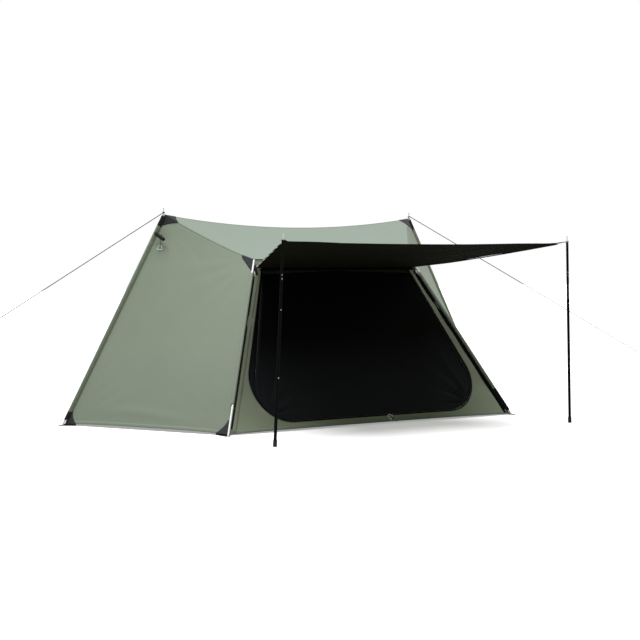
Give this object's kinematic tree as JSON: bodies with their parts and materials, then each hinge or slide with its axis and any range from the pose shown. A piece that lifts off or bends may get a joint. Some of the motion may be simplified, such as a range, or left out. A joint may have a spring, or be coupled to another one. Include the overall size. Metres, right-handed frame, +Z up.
{
  "type": "tipi tent",
  "caption": "Hexagonal lodge tent with a sagging ridge, sleeved frame poles, a mesh door and a door flap raised as an awning on telescoping poles.",
  "frame": {"origin": "on the ground, under the middle of the tent and its raised awning, guy lines left out", "axes": "+X along the ridge to the right seen from the door, +Y from the door to the rear, +Z up"},
  "size_m": [6.2963, 3.2484, 1.6562],
  "materials": {
    "awning_cloth": "dark lined polycotton",
    "foot_rubber": "matt black",
    "zinc_steel": "bright zinc",
    "black_webbing": "black webbing and zip tape",
    "pole_alloy": "anodised tube, satin",
    "fly_cloth": "matt woven polycotton, sage green",
    "wall_cloth": "matt woven polycotton, sage green",
    "guy_cord": "braided cord, dark grey",
    "black_pole_coat": "black powder coat, satin",
    "door_mesh": "fine black insect mesh",
    "black_plastic": "moulded black"
  },
  "bodies": {
    "tent": {"awning_zip_left": "black_webbing", "awning_zip_right": "black_webbing", "corner_pole_front_left": "pole_alloy", "corner_pole_front_right": "pole_alloy", "corner_pole_rear_left": "pole_alloy", "corner_pole_rear_right": "pole_alloy", "corner_sleeve_front_left": "fly_cloth", "corner_sleeve_front_right": "fly_cloth", "corner_sleeve_rear_left": "fly_cloth", "corner_sleeve_rear_right": "fly_cloth", "door_zip": "black_webbing", "front_wall": "wall_cloth", "ground_patch_front_left": "black_webbing", "ground_patch_front_right": "black_webbing", "ground_patch_rear_left": "black_webbing", "ground_patch_rear_right": "black_webbing", "ground_patch_side_left": "black_webbing", "ground_patch_side_right": "black_webbing", "guy_line_left": "guy_cord", "guy_line_right": "guy_cord", "peak_patch_left": "black_webbing", "peak_patch_right": "black_webbing", "peak_pin_left": "zinc_steel", "peak_pin_right": "zinc_steel", "rear_wall": "wall_cloth", "roof_front": "fly_cloth", "roof_rear": "fly_cloth", "shoulder_patch_front_left": "black_webbing", "shoulder_patch_front_right": "black_webbing", "shoulder_patch_rear_left": "black_webbing", "shoulder_patch_rear_right": "black_webbing", "side_front_left": "fly_cloth", "side_front_right": "fly_cloth", "side_pole_left": "pole_alloy", "side_pole_right": "pole_alloy", "side_rear_left": "fly_cloth", "side_rear_right": "fly_cloth", "side_sleeve_left": "fly_cloth", "side_sleeve_right": "fly_cloth", "sill_strap": "black_webbing"},
    "awning": {"awning": "awning_cloth", "awning_tab_left": "black_webbing", "awning_tab_right": "black_webbing"},
    "mesh_door": {"mesh_door": "door_mesh"},
    "toggle": {"tie_toggle": "black_plastic", "toggle_ring": "zinc_steel"},
    "sill_ring": {"sill_ring": "zinc_steel"},
    "left_pole": {"awning_foot_left": "foot_rubber", "lower_tube_left": "black_pole_coat"},
    "left_upper_pole": {"upper_tube_left": "black_pole_coat"},
    "left_button": {"snap_button_left": "zinc_steel"},
    "left_door_slider": {"door_slider_left": "zinc_steel"},
    "left_awning_slider": {"awning_slider_left": "zinc_steel"},
    "right_pole": {"awning_foot_right": "foot_rubber", "lower_tube_right": "black_pole_coat"},
    "right_upper_pole": {"upper_tube_right": "black_pole_coat"},
    "right_button": {"snap_button_right": "zinc_steel"},
    "right_door_slider": {"door_slider_right": "zinc_steel"},
    "right_awning_slider": {"awning_slider_right": "zinc_steel"}
  },
  "joints": [
    {"name": "awning_swing", "type": "hinge", "parent": "tent", "child": "awning", "pos_m": [0, -0.33741, 1.18772], "axis": [1, 0, 0], "range_deg": [0, 68]},
    {"name": "left_pole_tilt", "type": "hinge", "parent": "tent", "child": "left_pole", "pos_m": [-1.318, -1.60832, 0], "axis": [1, 0, 0], "range_deg": [0, 89]},
    {"name": "left_pole_slide", "type": "slide", "parent": "left_pole", "child": "left_upper_pole", "axis": [-0.0397, 0.012, -0.9991], "range_m": [0, 0.234]},
    {"name": "left_button_press", "type": "slide", "parent": "left_pole", "child": "left_button", "axis": [0, 0.9999, 0.012], "range_m": [0, 0.0022], "stiffness_N_per_m": 400},
    {"name": "right_pole_tilt", "type": "hinge", "parent": "tent", "child": "right_pole", "pos_m": [1.318, -1.60832, 0], "axis": [1, 0, 0], "range_deg": [0, 89]},
    {"name": "right_pole_slide", "type": "slide", "parent": "right_pole", "child": "right_upper_pole", "axis": [0.0397, 0.012, -0.9991], "range_m": [0, 0.234]},
    {"name": "right_button_press", "type": "slide", "parent": "right_pole", "child": "right_button", "axis": [0, 0.9999, 0.012], "range_m": [0, 0.0022], "stiffness_N_per_m": 400},
    {"name": "mesh_door_swing", "type": "hinge", "parent": "tent", "child": "mesh_door", "pos_m": [0, -0.34703, 1.16194], "axis": [1, 0, 0], "range_deg": [0, 90]},
    {"name": "left_door_zip_slide", "type": "slide", "parent": "tent", "child": "left_door_slider", "axis": [0.3129, 0.414, 0.8548], "range_m": [0, 0.65]},
    {"name": "left_awning_zip_slide", "type": "slide", "parent": "tent", "child": "left_awning_slider", "axis": [-0.3762, -0.4038, -0.8339], "range_m": [0, 1.1]},
    {"name": "right_door_zip_slide", "type": "slide", "parent": "tent", "child": "right_door_slider", "axis": [-0.3129, 0.414, 0.8548], "range_m": [0, 0.65]},
    {"name": "right_awning_zip_slide", "type": "slide", "parent": "tent", "child": "right_awning_slider", "axis": [0.3762, -0.4038, -0.8339], "range_m": [0, 1.1]},
    {"name": "toggle_swing", "type": "hinge", "parent": "tent", "child": "toggle", "pos_m": [-1.2167, 0.29161, 1.44825], "axis": [-0.6689, -0.6439, 0.3714], "range_deg": [0, 25]},
    {"name": "sill_ring_swing", "type": "hinge", "parent": "tent", "child": "sill_ring", "pos_m": [0.142, -0.89451, 0.04239], "axis": [0.6273, 0.3394, 0.7009], "range_deg": [0, 60]}
  ],
  "couplings": [
    {"joint": "left_pole_tilt", "follows": "awning_swing", "ratio": 1.3083},
    {"joint": "right_pole_tilt", "follows": "awning_swing", "ratio": 1.3083}
  ]
}
